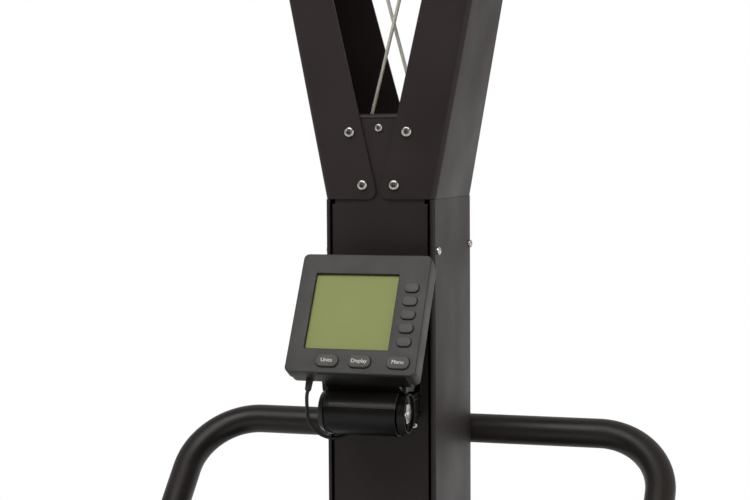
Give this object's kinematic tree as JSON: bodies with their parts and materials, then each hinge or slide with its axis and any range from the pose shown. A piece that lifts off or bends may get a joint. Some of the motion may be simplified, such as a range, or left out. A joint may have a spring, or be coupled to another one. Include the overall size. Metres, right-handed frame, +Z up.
{
  "type": "ski trainer machine",
  "caption": "standing ski trainer: splayed arms over a column, caged fan wheel, two pull cords with handles, tilting monitor, floor platform and hoop",
  "frame": {"origin": "on the floor under the middle of the whole machine", "axes": "+X to the user's right, +Y away from the user, +Z up"},
  "size_m": [0.6768, 1.332, 2.16],
  "materials": {
    "black_coat": "satin black powder coat",
    "deck": "matt dark coated deck board",
    "rubber": "matt black rubber",
    "steel": "brushed steel",
    "black_plastic": "matt black moulded plastic",
    "grey_plastic": "finely textured dark grey plastic",
    "key_plastic": "smooth grey key plastic",
    "display": "green-grey liquid crystal behind a clear window",
    "cord": "pale grey-green braided cord"
  },
  "bodies": {
    "frame": {"platform_deck": "deck", "platform_frame": "black_coat", "foot_front_left": "rubber", "foot_front_right": "rubber", "foot_rear_left": "rubber", "foot_rear_right": "rubber", "leg_column": "black_coat", "leg_front_panel": "black_coat", "left_arm": "black_coat", "right_arm": "black_coat", "top_brace": "black_coat", "hoop_brace": "black_coat", "hoop_clamp": "black_coat", "flywheel_axle": "steel", "axle_seat_left": "steel", "axle_seat_right": "steel", "cage_left_shell": "black_coat", "cage_right_shell": "black_coat", "cage_rim": "black_coat", "cage_bracket_left": "black_coat", "cage_bracket_right": "black_coat", "pulley_bracket_left": "black_coat", "pulley_bracket_right": "black_coat", "guide_plate": "steel", "cord_anchor": "black_coat", "drive_cord_left": "cord", "drive_cord_right": "cord", "handle_cord_left": "cord", "handle_cord_right": "cord", "return_cord_left": "cord", "return_cord_right": "cord", "monitor_bracket": "black_plastic", "pivot_bolt": "steel", "monitor_cable": "rubber"},
    "fan": {"flywheel_fan": "steel"},
    "drum_left": {"drive_drum_left": "black_plastic"},
    "drum_right": {"drive_drum_right": "black_plastic"},
    "pulley_left": {"top_pulley_left": "black_plastic"},
    "pulley_right": {"top_pulley_right": "black_plastic"},
    "guide_left": {"guide_pulley_left": "black_plastic"},
    "guide_right": {"guide_pulley_right": "black_plastic"},
    "grip_left": {"handle_left": "black_plastic"},
    "grip_right": {"handle_right": "black_plastic"},
    "damper": {"damper_disc": "grey_plastic"},
    "wheel_left": {"transport_wheel_left": "rubber"},
    "wheel_right": {"transport_wheel_right": "rubber"},
    "monitor": {"monitor_arm": "black_plastic", "pivot_sleeve": "black_plastic", "monitor_front_case": "grey_plastic", "monitor_back_case": "grey_plastic", "monitor_window": "display"},
    "side_key_1_body": {"side_key_1": "key_plastic"},
    "side_key_2_body": {"side_key_2": "key_plastic"},
    "side_key_3_body": {"side_key_3": "key_plastic"},
    "side_key_4_body": {"side_key_4": "key_plastic"},
    "side_key_5_body": {"side_key_5": "key_plastic"},
    "lower_key_1_body": {"lower_key_1": "key_plastic"},
    "lower_key_2_body": {"lower_key_2": "key_plastic"},
    "lower_key_3_body": {"lower_key_3": "key_plastic"}
  },
  "joints": [
    {"name": "handle_left_pull", "type": "slide", "parent": "frame", "child": "grip_left", "axis": [0, 0, -1], "range_m": [0, 1.2], "stiffness_N_per_m": 8, "springref_m": -1.5, "deforming": ["handle_cord_left"]},
    {"name": "drum_left_spin", "type": "hinge", "parent": "frame", "child": "drum_left", "pos_m": [0, 0.342, 1.928], "axis": [-1, 0, 0], "range_deg": [0, 2457]},
    {"name": "pulley_left_spin", "type": "hinge", "parent": "frame", "child": "pulley_left", "pos_m": [-0.19782, 0.259, 2.12], "axis": [0.9811, 0, 0.1933], "range_deg": [0, 2293]},
    {"name": "handle_right_pull", "type": "slide", "parent": "frame", "child": "grip_right", "axis": [0, 0, -1], "range_m": [0, 1.2], "stiffness_N_per_m": 8, "springref_m": -1.5, "deforming": ["handle_cord_right"]},
    {"name": "drum_right_spin", "type": "hinge", "parent": "frame", "child": "drum_right", "pos_m": [0, 0.342, 1.928], "axis": [-1, 0, 0], "range_deg": [0, 2457]},
    {"name": "pulley_right_spin", "type": "hinge", "parent": "frame", "child": "pulley_right", "pos_m": [0.19782, 0.259, 2.12], "axis": [0.9811, 0, -0.1933], "range_deg": [0, 2293]},
    {"name": "guide_left_spin", "type": "hinge", "parent": "frame", "child": "guide_left", "pos_m": [-0.0427, 0.322, 1.24], "axis": [0, 1, 0], "range_deg": [0, 3275]},
    {"name": "guide_right_spin", "type": "hinge", "parent": "frame", "child": "guide_right", "pos_m": [0.0427, 0.34731, 1.24], "axis": [0, -1, 0], "range_deg": [0, 3275]},
    {"name": "fan_spin", "type": "hinge", "parent": "frame", "child": "fan", "pos_m": [0, 0.342, 1.928], "axis": [1, 0, 0], "continuous": true},
    {"name": "damper_turn", "type": "hinge", "parent": "frame", "child": "damper", "pos_m": [0.064, 0.342, 1.928], "axis": [1, 0, 0], "range_deg": [0, 18]},
    {"name": "monitor_tilt", "type": "hinge", "parent": "frame", "child": "monitor", "pos_m": [0, 0.204, 1.0105], "axis": [1, 0, 0], "range_deg": [0, 60], "deforming": ["monitor_cable"]},
    {"name": "side_key_1_press", "type": "slide", "parent": "monitor", "child": "side_key_1_body", "axis": [0, 0.8634, -0.5045], "range_m": [0, 0.0015], "stiffness_N_per_m": 300, "springref_m": -0.001},
    {"name": "side_key_2_press", "type": "slide", "parent": "monitor", "child": "side_key_2_body", "axis": [0, 0.8634, -0.5045], "range_m": [0, 0.0015], "stiffness_N_per_m": 300, "springref_m": -0.001},
    {"name": "side_key_3_press", "type": "slide", "parent": "monitor", "child": "side_key_3_body", "axis": [0, 0.8634, -0.5045], "range_m": [0, 0.0015], "stiffness_N_per_m": 300, "springref_m": -0.001},
    {"name": "side_key_4_press", "type": "slide", "parent": "monitor", "child": "side_key_4_body", "axis": [0, 0.8634, -0.5045], "range_m": [0, 0.0015], "stiffness_N_per_m": 300, "springref_m": -0.001},
    {"name": "side_key_5_press", "type": "slide", "parent": "monitor", "child": "side_key_5_body", "axis": [0, 0.8634, -0.5045], "range_m": [0, 0.0015], "stiffness_N_per_m": 300, "springref_m": -0.001},
    {"name": "lower_key_1_press", "type": "slide", "parent": "monitor", "child": "lower_key_1_body", "axis": [0, 0.8634, -0.5045], "range_m": [0, 0.0015], "stiffness_N_per_m": 300, "springref_m": -0.001},
    {"name": "lower_key_2_press", "type": "slide", "parent": "monitor", "child": "lower_key_2_body", "axis": [0, 0.8634, -0.5045], "range_m": [0, 0.0015], "stiffness_N_per_m": 300, "springref_m": -0.001},
    {"name": "lower_key_3_press", "type": "slide", "parent": "monitor", "child": "lower_key_3_body", "axis": [0, 0.8634, -0.5045], "range_m": [0, 0.0015], "stiffness_N_per_m": 300, "springref_m": -0.001},
    {"name": "transport_wheel_left_spin", "type": "hinge", "parent": "frame", "child": "wheel_left", "pos_m": [-0.23, 0.636, 0.033], "axis": [1, 0, 0], "continuous": true},
    {"name": "transport_wheel_right_spin", "type": "hinge", "parent": "frame", "child": "wheel_right", "pos_m": [0.23, 0.636, 0.033], "axis": [1, 0, 0], "continuous": true}
  ],
  "couplings": [
    {"joint": "drum_left_spin", "follows": "handle_left_pull", "rad_per_m": 35.714},
    {"joint": "pulley_left_spin", "follows": "handle_left_pull", "rad_per_m": 33.333},
    {"joint": "guide_right_spin", "follows": "handle_left_pull", "rad_per_m": 47.619},
    {"joint": "drum_right_spin", "follows": "handle_right_pull", "rad_per_m": 35.714},
    {"joint": "pulley_right_spin", "follows": "handle_right_pull", "rad_per_m": 33.333},
    {"joint": "guide_left_spin", "follows": "handle_right_pull", "rad_per_m": 47.619}
  ]
}
